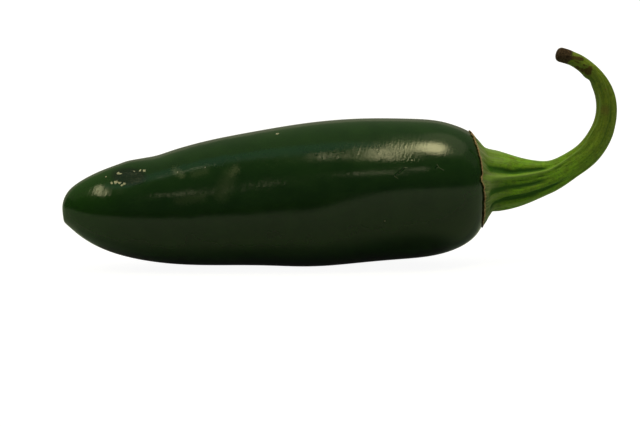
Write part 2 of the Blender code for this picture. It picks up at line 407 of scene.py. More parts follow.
# How strongly some marks show, and how much of the ribs' relief the upper stem's colours show.
SCUFF_STRENGTH = 0.8
SCRATCH_STRENGTH = 0.10
SCAR_STRENGTH = 0.7
PATCH_STRENGTH = 0.9
DASH_STRENGTH = 0.7
UPPER_RELIEF = 0.6

# What patterns and marks add to the roughness: one factor, or the least and the most.
MOTTLE_DULLS = (-0.05, 0.05)
GRAIN_DULLS = (-0.03, 0.03)
FIBRE_DULLS = (-0.07, 0.08)
DENT_DULLS = 0.06
FLECK_DULLS = 0.4
SCAR_DULLS = 0.3
GLINT_DULLS = 0.12
DRY_DULLS = 0.25
EDGE_DULLS = 0.2

# How high patterns and marks stand in the bump, and how deep the deep nicks are in it.
FLECK_HEIGHT = 0.12
DEEP_NICK_DEPTH = 0.02
SCRATCH_HEIGHT = 0.03
SCUFF_HEIGHT = 0.06
FIBRE_HEIGHT = 0.12
THREAD_HEIGHT = 0.07
STEM_GRAIN_HEIGHT = 0.05
CORK_HEIGHT = 0.45
PATCH_HEIGHT = 0.3

STEM_SPECULAR = 0.22

# The camera: the place that it looks at, the width of its picture there, the width of its sensor, and how
# far from it the view begins.
CAMERA_TARGET = (1.4, 0.0, 10.31)
FRAME_WIDTH = 128.0
SENSOR_WIDTH = 36.0
VIEW_START = 10.0

# Soft boxes: name, direction, distance, width and depth in metres, turn in degrees, colour, brightness, and
# whether gloss shows it. Those no larger than LARGEST_OVAL, in metres, are oval.
LIGHTS = (
    ("key_box", (0.30, -0.15, 0.95), 0.8, (0.26, 0.31), 0, (1.0, 0.93, 0.50), 3.6, True),
    ("key_core", (0.285, -0.15, 0.95), 0.8, (0.18, 0.22), 0, (1.0, 0.93, 0.50), 3.6, True),
    ("key_glow", (0.42, 0.05, 0.9), 1.0, (0.6, 0.8), 0, (1.0, 0.95, 0.62), 0.26, True),
    ("key_box_left", (0.104, -0.37, 0.92), 0.8, (0.030, 0.30), 0, (1.0, 0.93, 0.52), 9.5, True),
    ("far_left_box", (-0.055, -0.38, 0.90), 0.8, (0.014, 0.18), 0, (1.0, 0.93, 0.55), 7.0, True),
    ("tip_box", (-0.63, -0.22, 0.75), 1.0, (0.15, 0.60), -27, (1.0, 0.95, 0.55), 4.1, True),
    ("left_box", (-0.28, -0.23, 0.93), 1.0, (0.03, 0.06), 0, (1.0, 0.95, 0.6), 5.0, True),
    ("front_left_box", (-0.28, -0.81, 0.53), 1.0, (0.04, 0.16), 0, (1.0, 0.93, 0.6), 1.8, True),
    ("front_line_box", (0.06, -0.81, 0.58), 1.0, (0.08, 0.055), 0, (1.0, 0.93, 0.6), 3.2, True),
    ("front_right_box", (0.19, -0.72, 0.66), 1.0, (0.05, 0.11), 0, (1.0, 0.93, 0.6), 2.0, True),
    ("ceiling_box", (0.0, 1.2, 1.0), 1.56, (5.0, 3.0), 0, (1.0, 0.97, 0.66), 0.105, True),
    ("ceiling_wash", (0.0, 1.2, 1.0), 1.56, (5.0, 3.0), 0, (1.0, 1.0, 0.9), 1.65, False),
    ("front_wash", (0.1, -1.0, 0.2), 1.5, (2.4, 1.2), 0, (1.0, 1.0, 0.92), 0.19, False),
    ("window_strip", (-0.22, -0.12, 0.96), 1.0, (0.7, 0.35), 0, (0.08, 0.80, 0.85), 0.13, True),
    ("back_box", (0.0, 1.0, 0.25), 2.0, (4.0, 1.0), 0, (1.0, 0.90, 0.66), 0.2, True),
)
LARGEST_OVAL = 1.0
ROOM_COLOUR = (0.035, 0.037, 0.034)

# The floor and the table top are sheets of dull paper with a glow of their own. Their sizes are in metres.
# The table top lies a little under the floor.
FLOOR_SIZE = 8.0
FLOOR_COLOUR = (0.2, 0.2, 0.2)
FLOOR_GLOW = 0.93
TABLE_SIZE = 2.0
TABLE_DROP = 0.2
TABLE_COLOUR = (0.38, 0.445, 0.37)
TABLE_GLOW = 0.012
PAPER_ROUGHNESS = 0.9

# The table top is lit behind a soft line in front of the pepper, which fades over this much to each side.
# Past the x of its turn it retreats towards the camera, by this share of the square of the way.
LIT_FRONT = 55.0
LIT_FADE = 16.0
LIT_TURN = -6.0
LIT_RETREAT = 0.16

# The table top has a painted shadow close to the line on which the pod rests: in full at the first distance
# from it, and not at all at the second.
CONTACT_LINE = ((-40.0, 4.0, 0.0), (22.0, -4.0, 0.0))
PAINTED_SHADOW_REACH = (3.2, 8.0)
PAINTED_SHADOW_COLOUR = (0.20, 0.175, 0.185)


class Shade:
    """A shader socket that Python's own arithmetic works on: an expression adds the Math nodes it needs."""

    def __init__(self, tree, socket=None):
        self.tree = tree
        self.socket = socket

    def node(self, kind, settings=None, inputs=None, output=0):
        """Adds a node, with its settings first and then its sockets, and gives one of its outputs."""
        node = self.tree.nodes.new(kind)
        for name, value in (settings or {}).items():
            setattr(node, name, value)
        for name, value in (inputs or {}).items():
            if isinstance(value, Shade):
                self.tree.links.new(value.socket, node.inputs[name])
            else:
                node.inputs[name].default_value = value
        return Shade(self.tree, node.outputs[output])

    def maths(self, operation, first, second):
        return self.node("ShaderNodeMath", {"operation": operation}, {0: first, 1: second})

    def vectors(self, operation, first, second, output="Vector"):
        return self.node("ShaderNodeVectorMath", {"operation": operation}, {0: first, 1: second}, output)

    def __add__(self, other):
        return self.maths("ADD", self, other)

    __radd__ = __add__

    def __mul__(self, other):
        return self.maths("MULTIPLY", self, other)

    __rmul__ = __mul__

    def __sub__(self, other):
        if isinstance(other, Vector):
            return self.vectors("SUBTRACT", self, other)
        return self.maths("SUBTRACT", self, other)

    def __rsub__(self, other):
        return self.maths("SUBTRACT", other, self)

    def smaller(self, other):
        return self.maths("MINIMUM", self, other)

    def larger(self, other):
        return self.maths("MAXIMUM", self, other)

    def between(self, none, full, most=1.0):
        """A mask: 0 where this is at none, the most at full, and smooth from one to the other."""
        limits = {"Value": self, "From Min": none, "From Max": full, "To Max": most}
        return self.node("ShaderNodeMapRange", {"interpolation_type": "SMOOTHSTEP"}, limits)

    def spread(self, least, most):
        """This, which runs from 0 to 1, run from the least to the most."""
        return self * (most - least) + least

    def blend(self, none, full):
        """A colour: none where this is 0 and full where it is 1."""
        # A Mix node has its sockets once for each kind of value, and these are the ones for colours.
        colours = {0: self, 6: colour(none), 7: colour(full)}
        return self.node("ShaderNodeMix", {"data_type": "RGBA"}, colours, output=2)

    def scaled(self, factors):
        """This vector with its three parts multiplied."""
        return self.vectors("MULTIPLY", self, factors)

    def distance_to(self, start, end=None):
        """How far this place is from a point, or from a straight line between two."""
        if end is None:
            return self.vectors("DISTANCE", self, start, "Value")
        way = Vector(end) - Vector(start)
        offset = self - Vector(start)
        share = self.vectors("DOT_PRODUCT", offset, way / way.length_squared, "Value")
        share = share.larger(0).smaller(1)
        nearest = self.node("ShaderNodeVectorMath", {"operation": "SCALE"}, {0: way, "Scale": share})
        return offset.distance_to(nearest)

    def part(self, index):
        """One part of this vector: 0, 1 or 2."""
        return self.node("ShaderNodeSeparateXYZ", None, {0: self}, output=index)

    def noise(self, scale, detail, roughness=0.5):
        """Soft noise round 0.5 over this vector."""
        inputs = {"Vector": self, "Scale": scale, "Detail": detail, "Roughness": roughness}
        return self.node("ShaderNodeTexNoise", None, inputs)

    def feeds(self, shader, name):
        """Links this to one of a shader's sockets."""
        self.tree.links.new(self.socket, shader.inputs[name])

    def raises(self, shader):
        """Makes this height in millimetres the shader's bump."""
        bump = self.node("ShaderNodeBump", None, {"Strength": 1.0, "Distance": MM, "Height": self})
        bump.feeds(shader, "Normal")


def colour(tint):
    """A colour as a colour socket takes it: linked as it is, or as four numbers."""
    return tint if isinstance(tint, Shade) else (*tint, 1.0)


def largest(masks):
    """The largest of these masks."""
    return functools.reduce(Shade.larger, masks)


def stained(skin, stains):
    """The skin with these tints laid over it in turn, each as (mask, tint)."""
    for mask, tint in stains:
        skin = mask.blend(skin, tint)
    return skin


def new_material(name):
    """An empty material, its shader's node, and the place on the piece in millimetres."""
    material = bpy.data.materials.new(name)
    material.use_nodes = True
    tree = material.node_tree
    place = Shade(tree).node("ShaderNodeTexCoord", output="Object").scaled((1 / MM, 1 / MM, 1 / MM))
    return material, tree.nodes["Principled BSDF"], place


def natural_spline(knots, values):
    """A smooth curve through the values at the knots, as a function of the place along the knots."""
    knots = np.asarray(knots, float)
    values = np.asarray(values, float)
    gaps = np.diff(knots)
    slopes = np.diff(values, axis=0) / gaps[:, None]
    system = np.eye(len(knots))
    pull = np.zeros_like(values)
    for i in range(1, len(knots) - 1):
        system[i, i - 1 : i + 2] = gaps[i - 1], 2 * (gaps[i - 1] + gaps[i]), gaps[i]
        pull[i] = 6 * (slopes[i] - slopes[i - 1])
    bend = np.linalg.solve(system, pull)

    def curve(where):
        i = int(np.clip(np.searchsorted(knots, where) - 1, 0, len(gaps) - 1))
        after = (where - knots[i]) / gaps[i]
        before = 1 - after
        straight = before * values[i] + after * values[i + 1]
        bent = (before**3 - before) * bend[i] + (after**3 - after) * bend[i + 1]
        return straight + gaps[i] ** 2 / 6 * bent

    return curve


def knots_along(*rails):
    """How far along each point of these matching rails is, from 0 to 1, on the average of them."""
    steps = [np.linalg.norm(np.diff(np.asarray(rail, float), axis=0), axis=1) for rail in rails]
    along = np.concatenate([[0.0], np.cumsum(np.mean(steps, axis=0))])
    return along / along[-1]


def ramp(values, none, full):
    """0 where the values are at none, 1 at full, and straight from one to the other."""
    return np.clip((values - none) / (full - none), 0, 1)


def at(distance, side, height):
    """A place in metres, from a distance along the pod, a side and a height in millimetres."""
    return Vector((distance - REST_DISTANCE, side, height)) * MM


class Section:
    """A round section of a piece: its centre, its top's lean towards +X, its radius and the way along."""

    def __init__(self, centre, tilt, radius, along):
        self.centre = centre
        self.tilt = tilt
        self.radius = radius
        self.along = along


def pod_sections():
    """Sections of the pod, closer together at its ends."""
    top_rail = (POD_TIP, *POD_TOP, POD_CROWN)
    belly_rail = (POD_TIP, *POD_BELLY, POD_CROWN)
    shares = knots_along(top_rail, belly_rail)
    outline = natural_spline(
        np.concatenate([-shares[:0:-1], shares]),
        np.concatenate([belly_rail[:0:-1], top_rail]),
    )
    even = np.linspace(0, 1, POD_RINGS)
    crowded = even - RING_CROWDING * np.sin(2 * math.pi * even) / (2 * math.pi)
    sections = []
    for share in POD_FIRST_SHARE + (POD_LAST_SHARE - POD_FIRST_SHARE) * crowded:
        top = outline(share)
        belly = outline(-share)
        middle = (top + belly) / 2
        reach = top - belly
        radius = math.hypot(*reach) / 2
        pit = PIT_DEPTH * math.exp(-((radius / PIT_RADIUS) ** 2)) if share < 0.5 else 0.0
        bow = POD_BOW * (math.sin(math.pi * share) ** 2 - 0.5)
        centre = at(middle[0] + pit, bow, middle[1])
        sections.append(Section(centre, math.atan2(*reach), radius * MM, middle[0]))
    return sections


def stem_sections():
    """Sections of the calyx and the stem, from under the calyx's edge to the cut end."""
    side = -POD_BOW / 2
    sections = [
        Section(at(distance, side, height), math.radians(tilt), radius * MM, along)
        for distance, height, radius, tilt, along in CALYX_SECTIONS
    ]
    path = np.asarray(STEM_PATH)
    curve = natural_spline(knots_along(path[:, :2]), path)
    along = STEM_START_ALONG
    before = path[0][:2]
    for share in np.linspace(0, 1, STEM_RINGS):
        distance, height, radius = curve(share)
        slope = curve(share + SLOPE_STEP) - curve(share - SLOPE_STEP)
        along += math.dist(before, (distance, height))
        before = (distance, height)
        centre = at(distance, side - STEM_LEAN * share**2, height)
        tilt = -math.atan2(slope[1], slope[0])
        if sections[-1].tilt - tilt > math.pi:
            tilt += 2 * math.pi
        sections.append(Section(centre, tilt, radius * MM, along))
    return sections


def end_sections(last, ends):
    """Sections that close an end, as (share of the radius, reach past the last section in millimetres)."""
    forward = Vector((math.cos(last.tilt), 0, -math.sin(last.tilt)))
    return [
        Section(last.centre + forward * reach * MM, last.tilt, last.radius * share, last.along + reach)
        for share, reach in ends
    ]


def deselect_all():
    """Leaves nothing selected, so that an operator touches only what is picked next."""
    bpy.ops.object.select_all(action="DESELECT")


def pick(piece):
    """Selects one piece alone."""
    deselect_all()
    piece.select_set(True)
    bpy.context.view_layer.objects.active = piece


def mark_ring(piece, section):
    """Notes on the selected corners the cosine and sine of their angle and the way along."""
    mesh = bmesh.from_edit_mesh(piece.data)
    place = mesh.verts.layers.float_vector["place"]
    up = Vector((math.sin(section.tilt), 0, math.cos(section.tilt)))
    for corner in mesh.verts:
        if corner.select:
            out = (corner.co - section.centre).normalized()
            corner[place] = (out.dot(up), -out.y, section.along)


def sweep(name, sides, sections):
    """Adds a circle at the first section, and extrudes, turns and resizes its face through the others."""
    first = sections[0]
    deselect_all()
    bpy.ops.mesh.primitive_circle_add(
        vertices=sides,
        radius=first.radius,
        fill_type="NGON",
        location=first.centre,
        rotation=(0, math.pi / 2 + first.tilt, 0),
    )
    piece = bpy.context.active_object
    piece.name = name
    piece.data.name = name
    bpy.ops.object.transform_apply(location=True, rotation=True, scale=True)
    piece.data.attributes.new("place", "FLOAT_VECTOR", "POINT")
    bpy.ops.object.mode_set(mode="EDIT")
    bpy.ops.mesh.select_all(action="SELECT")
    mark_ring(piece, first)
    for before, section in zip(sections, sections[1:]):
        bpy.ops.mesh.extrude_region_move(TRANSFORM_OT_translate={"value": section.centre - before.centre})
        # With no window the operator turns against its sign.
        bpy.ops.transform.rotate(
            value=before.tilt - section.tilt, orient_axis="Y", center_override=section.centre
        )
        growth = section.radius / before.radius
        bpy.ops.transform.resize(value=(growth, growth, growth), center_override=section.centre)
        mark_ring(piece, section)
    bpy.ops.mesh.select_all(action="SELECT")
    bpy.ops.mesh.normals_make_consistent(inside=False)
    bpy.ops.object.mode_set(mode="OBJECT")
    return piece


def narrow(pod):
    """Gives the pod its width, as a share of its height."""
    bpy.ops.object.mode_set(mode="EDIT")
    bpy.ops.mesh.select_all(action="SELECT")
    bpy.ops.transform.resize(value=(1, POD_WIDTH_SHARE, 1), center_override=(0, 0, 0))
    bpy.ops.object.mode_set(mode="OBJECT")


def apply_modifier(piece, kind, **settings):
    """Adds a modifier with its settings and applies it."""
    modifier = piece.modifiers.new(kind.lower(), kind)
    for name, value in settings.items():
        setattr(modifier, name, value)
    pick(piece)
    bpy.ops.object.modifier_apply(modifier=modifier.name)


def rounded(piece, sections):
    """Rounds a swept piece, and gives the angle, the way along and the radius at each vertex."""
    apply_modifier(piece, "SUBSURF", levels=SUBDIVISIONS, render_levels=SUBDIVISIONS)
    notes = np.zeros(len(piece.data.vertices) * 3, np.float32)
    piece.data.attributes["place"].data.foreach_get("vector", notes)
    up, side, along = notes.reshape(-1, 3).T
    radius = np.interp(along, *zip(*((section.along, section.radius / MM) for section in sections)))
    return np.degrees(np.arctan2(side, up)) % 360, along, radius


def turn_from(angles, angle):
    """The way round from an angle, from -180 to 180 degrees."""
    return (angles - angle + 180) % 360 - 180


def weighted_group(piece, name, weights):
    """A vertex group with these weights, from 0 to 1."""
    group = piece.vertex_groups.new(name=name)
    for index in np.flatnonzero(weights > 0):
        group.add([int(index)], float(weights[index]), "REPLACE")
    return group.name


def raise_where(piece, name, height, weights, direction="NORMAL"):
    """Moves a piece's surface by a height in millimetres, in full where its weight is 1."""
    group = weighted_group(piece, name, np.clip(weights, 0, 1))
    apply_modifier(
        piece, "DISPLACE", vertex_group=group, strength=height * MM, mid_level=0.0, direction=direction
    )


def press_hollows(piece, hollows, angles, along, radius, share=1.0):
    """Presses hollows into a wall, each by this share of its depth."""
    for number, (middle, angle, length, width, depth) in enumerate(hollows):
        turn = np.radians(turn_from(angles, angle)) * radius
        reach = ((along - middle) / length) ** 2 + (turn / width) ** 2
        raise_where(piece, f"hollow_{number}", -depth * share, np.exp(-reach))


def rest_flat(pod):
    """Flattens the belly where the pod lies on the surface."""
    pick(pod)
    bpy.ops.object.mode_set(mode="EDIT")
    bpy.ops.mesh.select_all(action="DESELECT")
    mesh = bmesh.from_edit_mesh(pod.data)
    for corner in mesh.verts:
        corner.select = corner.co.z < 0
    mesh.select_flush_mode()
    bpy.ops.transform.resize(value=(1, 1, 0), center_override=(0, 0, 0))
    bpy.ops.object.mode_set(mode="OBJECT")


def rib_relief(angles, along):
    """The height of the ribs, above zero, and of the grooves, below it, as shares of the stem's radius."""
    relief = np.zeros_like(along)
    for share, width, way in STEM_RIBS:
        stations, bearings = zip(*way)
        middle = np.interp(along, stations, bearings)
        grown = ramp(along, stations[0] - RIB_FADE / 2, stations[0] + RIB_FADE / 2)
        faded = ramp(along, stations[-1] + RIB_FADE / 2, stations[-1] - RIB_FADE / 2)
        relief += share * np.exp(-((turn_from(angles, middle) / width) ** 2)) * grown * faded
    return relief


def raise_ribs(stem, angles, along, radius, height):
    """Raises the ribs, sinks the grooves, and keeps their relief for the colours."""
    relief = rib_relief(angles, along)
    rise = relief * ramp(along, *RIBS_GROW) * radius * height
    raise_where(stem, "ribs", TALLEST_RIB, rise / TALLEST_RIB)
    raise_where(stem, "grooves", -TALLEST_RIB, -rise / TALLEST_RIB)
    kept = stem.data.attributes.new("relief", "FLOAT", "POINT")
    kept.data.foreach_set("value", relief.astype(np.float32))


def draw_edge(stem, angles, along):
    """Draws the calyx's edge out into its ragged teeth, and back between them."""
    keys, reaches = zip(*CALYX_EDGE)
    reach = np.interp(angles, keys, reaches, period=360)
    for waves, start, size in EDGE_RAGS:
        reach += size * np.sin(np.radians(angles) * waves + start)
    reach *= ramp(along, *EDGE_DRAWN)
    raise_where(stem, "teeth", -LONGEST_TOOTH, reach / LONGEST_TOOTH, direction="X")
    raise_where(stem, "notches", DEEPEST_NOTCH, -reach / DEEPEST_NOTCH, direction="X")


def lay_edge(stem, pod, along, lift):
    """Lays the calyx's edge on the pod, this far off it in millimetres, with its root tucked under."""
    for name, limits, offset in (("laid", EDGE_LAID, lift), ("tucked", EDGE_TUCKED, EDGE_ROOT)):
        apply_modifier(
            stem,
            "SHRINKWRAP",
            target=pod,
            wrap_method="NEAREST_SURFACEPOINT",
            wrap_mode="ABOVE_SURFACE",
            offset=offset * MM,
            vertex_group=weighted_group(stem, name, ramp(along, *limits)),
        )


def crease_calyx(stem, angles, along):
    """Sinks the creases that run in from the calyx's edge."""
    crease = sum(np.exp(-((turn_from(angles, angle) / CREASE_WIDTH) ** 2)) for angle in CREASES)
    crease *= ramp(along, *CREASES_DEEPEN) * ramp(along, *CREASES_END)
    raise_where(stem, "creases", -CREASE_DEPTH, crease)


def finish_piece(piece, material, node):
    """Smooths a finished piece, gives it its material, and sets it in the frame."""
    pick(piece)
    bpy.ops.object.shade_smooth()
    piece.data.materials.clear()
    piece.data.materials.append(material)
    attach(piece, "root")
    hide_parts(node)


def upright(place):
    """A mark's full place: one given as (x, height) is set in the upright plane through the origin."""
    return place if len(place) == 3 else (place[0], 0.0, place[1])


def marks_in(place, marks, core, ragged=0.0):
    """1 in the core of any of these marks, and 0 past their radius, which noise may make ragged."""
    masks = []
    for *points, radius in marks:
        away = place.distance_to(*map(upright, points)) + ragged
        masks.append(away.between(radius, radius * core))
    return largest(masks)


def painted_glints_in(place, ragged):
    """How strong the painted highlights are in their streaks, whose edges are soft and ragged."""
    smears = []
    for start, end, radius, strength in PAINTED_GLINTS:
        away = place.distance_to(upright(start), upright(end)) + ragged * GLINT_WANDER
        smears.append(away.between(radius, 0.0, strength))
    return largest(smears)


def pod_skin(look):
    """Waxy dark green skin, brighter at the tip, with fine wrinkles, a scuffed dent, small marks, painted
    highlights and painted shade in the deep nicks.
    """
    material, shader, place = new_material("pod_skin")
    x, y, z = (place.part(index) for index in range(3))
    grain = place.noise(*POD_GRAIN)
    mottle = place.noise(*POD_MOTTLE)
    near_tip = (x + mottle * TIP_GREEN_WANDER).between(*TIP_GREEN)
    scar = place.distance_to(SCAR_PLACE).between(*SCAR_EDGE) * grain.between(*SCAR_GRAIN)

    # Marks given as (x, height) are seen from the side, so the depth of a place is left out for them.
    seen = place.scaled((1, 0, 1))
    in_front = y.between(*FRONT_SIDE)
    from_dent = (seen - Vector(upright(DENT_PLACE))).scaled(DENT_SHAPE).distance_to((0, 0, 0))
    dent = (from_dent + grain * DENT_WANDER).between(*DENT_EDGE) * in_front
    ragged = grain.spread(*POD_RAGS)
    crust = marks_in(place, CRUST_FLECKS, FLECK_CORE, ragged)
    flecks = crust.larger(marks_in(seen, PALE_FLECKS, FLECK_CORE, ragged) * in_front)
    scratches = marks_in(seen, PALE_NICKS, NICK_CORE) * in_front
    # Painted shade: the deep nicks are coloured dark green as the shade in their grooves.
    deep = marks_in(seen, DEEP_NICKS, NICK_CORE) * in_front
    # Painted highlights: pale streaks that stand in for glints, laid over the skin's colour.
    wax = painted_glints_in(seen, ragged) * in_front

    flesh = mottle.between(*POD_FLESH).blend(look.shade_colour, look.flesh_colour)
    stains = (
        (near_tip, look.tip_colour),
        (dent * SCUFF_STRENGTH, look.scuff_colour),
        (wax, look.glint_colour),
        (deep, look.nick_shade_colour),
        (flecks.larger(scratches * SCRATCH_STRENGTH), look.crust_colour),
        (scar * SCAR_STRENGTH, look.scar_colour),
    )
    stained(flesh, stains).feeds(shader, "Base Color")

    dull = mottle.spread(*MOTTLE_DULLS) + grain.spread(*GRAIN_DULLS) + look.roughness
    dull = dull + dent * DENT_DULLS + flecks * FLECK_DULLS + scar * SCAR_DULLS + wax * GLINT_DULLS
    dull.feeds(shader, "Roughness")

    leaning = x - z * WRINKLE_LEAN
    across = place.node("ShaderNodeCombineXYZ", None, {0: leaning, 1: z * WRINKLE_STRETCH})
    fine = across.noise(*POD_WRINKLES) * look.wrinkle_depth + place.noise(*POD_CRACKLE) * look.crackle_depth
    ripples = place.noise(*POD_RIPPLES) * x.between(*RIPPLED_PART)
    height = fine * z.between(*DEPTH_GAINED).spread(LOW_SHARE, 1.0)
    height = height + place.noise(*POD_WAVES) * look.wave_depth + ripples * look.ripple_depth
    height = height + flecks * FLECK_HEIGHT + scratches * SCRATCH_HEIGHT - deep * DEEP_NICK_DEPTH
    height = height + dent * grain * SCUFF_HEIGHT
    height.raises(shader)
    return material


def stem_skin(look):
    """Satin green skin with pale ribs, green grooves, a tan papery edge on the calyx and a dry end."""
    material, shader, place = new_material("stem_skin")
    note = place.node("ShaderNodeAttribute", {"attribute_name": "place"}, output="Vector")
    along = note.part(2)
    fibres = note.scaled(FIBRE_STRETCH).noise(*FIBRE_NOISE)
    threads = note.scaled(THREAD_STRETCH).noise(*THREAD_NOISE)
    blotches = place.noise(*STEM_BLOTCHES)
    grain = place.noise(*STEM_GRAIN)
    relief = place.node("ShaderNodeAttribute", {"attribute_name": "relief"}, output="Fac")
    relief = relief * along.between(*STRONG_RELIEF).spread(UPPER_RELIEF, 1.0) + fibres.spread(*FIBRE_RELIEF)

    calyx = fibres.between(*CALYX_FIBRES).blend(look.calyx_colour, look.calyx_shade_colour)
    calyx = threads.between(*CALYX_THREADS).blend(calyx, look.calyx_colour)
    in_calyx = (along + fibres * CALYX_WANDER).between(*IN_CALYX)
    rim = grain.between(*EDGE_GRAIN).blend(look.edge_colour, look.edge_shade_colour)
    edge = (along + grain * EDGE_WANDER).between(*PAPERY_EDGE)
    cork = grain.between(*CORK_GRAIN).blend(look.cork_colour, look.cork_pale_colour)
    dry = (along + place.noise(*DRY_EDGE_NOISE).spread(*DRY_RAGS)).between(*DRY_END)

    ragged = grain.spread(*STEM_RAGS)
    patches = marks_in(place, BROWN_PATCHES, FLECK_CORE, ragged)
    patches = patches.larger(marks_in(place, BROWN_STREAKS, STREAK_CORE, ragged * STREAK_WANDER))
    from_blotch = place.distance_to(RUSTY_BLOTCH_PLACE) + grain.spread(*RUST_RAGS)
    rust = from_blotch.between(*RUSTY_BLOTCH)
    rust = rust.larger(marks_in(place, RUSTY_FLECKS, RUST_CORE))
    rust = rust.larger(marks_in(place, RUSTY_DASHES, RUST_CORE) * DASH_STRENGTH)

    flesh = along.between(*UPPER_STEM).blend(look.foot_colour, look.upper_colour)
    stains = (
        (blotches.between(*BLOTCHED), look.dull_colour),
        (threads.between(*PALE_THREADS), look.rib_colour),
        (fibres.between(*DEEP_FIBRES), look.groove_colour),
        (grain.between(*DEEP_GRAIN), look.groove_colour),
        (in_calyx, calyx),
        (relief.between(*IN_GROOVE), look.groove_colour),
        (relief.between(*ON_RIB), look.rib_colour),
        (edge, rim),
        (patches * PATCH_STRENGTH, look.patch_colour),
        (rust, look.rust_colour),
        (dry, cork),
    )
    stained(flesh, stains).feeds(shader, "Base Color")

    dull = dry.larger(patches) * DRY_DULLS + edge * EDGE_DULLS + fibres.spread(*FIBRE_DULLS)
    dull = dull + look.roughness
    dull.feeds(shader, "Roughness")

    height = fibres * FIBRE_HEIGHT + threads * THREAD_HEIGHT + grain * STEM_GRAIN_HEIGHT
    height = height + dry * grain * CORK_HEIGHT + patches * grain * PATCH_HEIGHT
    height.raises(shader)
    shader.inputs["Specular IOR Level"].default_value = STEM_SPECULAR
    return material


def add_sheet(name, finish, size, drop, glow):
    """Adds a flat sheet of dull paper that glows, and gives it, its shader and the place on it."""
    deselect_all()
    bpy.ops.mesh.primitive_plane_add(size=size, location=(0, 0, -drop * MM))
    sheet = bpy.context.active_object
    sheet.name = name
    material, shader, place = new_material(finish)
    shader.inputs["Roughness"].default_value = PAPER_ROUGHNESS
    shader.inputs["Emission Color"].default_value = (1, 1, 1, 1)
    shader.inputs["Emission Strength"].default_value = glow
    sheet.data.materials.append(material)
    return sheet, shader, place


def make_floor():
    """A pale floor that only the camera sees, and a darker table top, unseen by it, which gloss shows."""
    floor, shader, _ = add_sheet("floor", "floor_paper", FLOOR_SIZE, 0.0, FLOOR_GLOW)
    shader.inputs["Base Color"].default_value = colour(FLOOR_COLOUR)
    floor.visible_diffuse = False
    floor.visible_glossy = False
    floor.visible_shadow = False

    table, shader, place = add_sheet("table_top", "table_grey", TABLE_SIZE, TABLE_DROP, TABLE_GLOW)
    past_turn = (place.part(0) - LIT_TURN).larger(0)
    front = past_turn * past_turn * -LIT_RETREAT - LIT_FRONT
    lit = (place.part(1) - front).between(-LIT_FADE, LIT_FADE)
    # Painted shadow: the table top is darker close to the line on which the pod rests.
    clear_of_painted_shadow = place.distance_to(*CONTACT_LINE).between(*PAINTED_SHADOW_REACH)
    paper = clear_of_painted_shadow.blend(PAINTED_SHADOW_COLOUR, TABLE_COLOUR)
    lit.blend((0, 0, 0), paper).feeds(shader, "Base Color")
    table.visible_camera = False


def add_to_scene(name, data):
    """A new object with this data, in the scene."""
    made = bpy.data.objects.new(name, data)
    bpy.context.scene.collection.objects.link(made)
    return made


def make_lights(look):
    """Soft boxes round the pepper and a dim room."""
    for name, direction, distance, size, turn, tint, brightness, in_gloss in LIGHTS:
        data = bpy.data.lights.new(name, "AREA")
        data.shape = "ELLIPSE" if max(size) <= LARGEST_OVAL else "RECTANGLE"
        data.size, data.size_y = size
        data.color = tint
        data.energy = look.light_level * brightness * math.pi * size[0] * size[1]
        lamp = add_to_scene(name, data)
        way = Vector(direction).normalized()
        lamp.location = way * distance
        # The ceiling's boxes hang level, and the others face the pepper.
        facing = Vector((0, 0, 1)) if name.startswith("ceiling") else way
        across = Vector((0, 1, 0)).cross(facing).normalized()
        axes = Matrix((across, facing.cross(across), facing)).transposed()
        lamp.rotation_euler = (Matrix.Rotation(math.radians(turn), 3, facing) @ axes).to_euler()
        lamp.visible_glossy = in_gloss
    world = bpy.data.worlds.new("room")
    world.use_nodes = True
    world.node_tree.nodes["Background"].inputs["Color"].default_value = colour(ROOM_COLOUR)
    bpy.context.scene.world = world


def make_camera(look):
    """The camera at the photograph's angle."""
    turn = look.camera_azimuth
    rise = look.camera_elevation
    back = Vector((math.sin(turn) * math.cos(rise), -math.cos(turn) * math.cos(rise), math.sin(rise)))
    data = bpy.data.cameras.new("camera")
    data.sensor_width = SENSOR_WIDTH
    data.lens = SENSOR_WIDTH * look.camera_distance / (FRAME_WIDTH * MM)
    data.clip_start = VIEW_START * MM
    camera = add_to_scene("camera", data)
    camera.location = Vector(CAMERA_TARGET) * MM + back * look.camera_distance
    camera.rotation_euler = back.to_track_quat("Z", "Y").to_euler()
    bpy.context.scene.camera = camera
    bpy.context.scene.view_settings.view_transform = "Standard"


def colour_setting(name, description, default):
    """A colour that a user may change."""
    return FloatVectorProperty(name=name, description=description, subtype="COLOR", default=default)


def number_setting(name, description, default, most):
    """A number that a user may change, from 0 to the most."""
    return FloatProperty(name=name, description=description, default=default, min=0, max=most)


def angle_setting(name, description, degrees):
    """An angle that a user may change."""
    return FloatProperty(name=name, description=description, subtype="ANGLE", default=math.radians(degrees))


